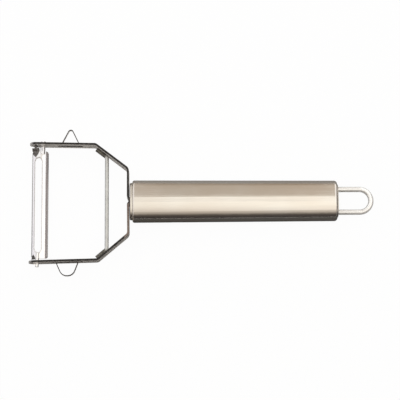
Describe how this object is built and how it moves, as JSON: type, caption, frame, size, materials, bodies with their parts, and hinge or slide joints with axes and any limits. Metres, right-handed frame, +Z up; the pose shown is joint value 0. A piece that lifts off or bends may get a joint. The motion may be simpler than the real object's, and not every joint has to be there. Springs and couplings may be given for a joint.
{
  "type": "vegetable peeler",
  "caption": "All-steel Y-shaped peeler: swivelling slotted blade in a bent strip yoke with eye removers, brace wire, hollow oval handle and wire hanging loop.",
  "frame": {"origin": "on the handle's flat underside, below the handle's centre line, half way along the whole peeler", "axes": "+X along the handle from the blade to the hanging loop, +Y across it, +Z up from the surface that the peeler lies on"},
  "size_m": [0.185, 0.0795, 0.014],
  "materials": {
    "handle_steel": "satin stainless steel, brushed lengthwise",
    "cap_steel": "pressed stainless steel, semi-bright",
    "wire_steel": "bright drawn stainless wire",
    "yoke_steel": "bright rolled stainless strip",
    "rivet_steel": "plain stainless steel",
    "blade_steel": "polished hardened steel, ground edges"
  },
  "bodies": {
    "frame": {"handle_tube": "handle_steel", "front_cap": "cap_steel", "rear_cap": "cap_steel", "hanging_loop": "wire_steel", "yoke": "yoke_steel", "brace_wire": "wire_steel", "yoke_rivet": "rivet_steel", "rivet_washer": "rivet_steel"},
    "blade": {"blade": "blade_steel"}
  },
  "joints": [
    {"name": "blade_swivel", "type": "hinge", "parent": "frame", "child": "blade", "pos_m": [-0.0855, 0.03127, 0.007], "axis": [0.0407, 0.9992, 0], "range_deg": [-40, 40]}
  ]
}
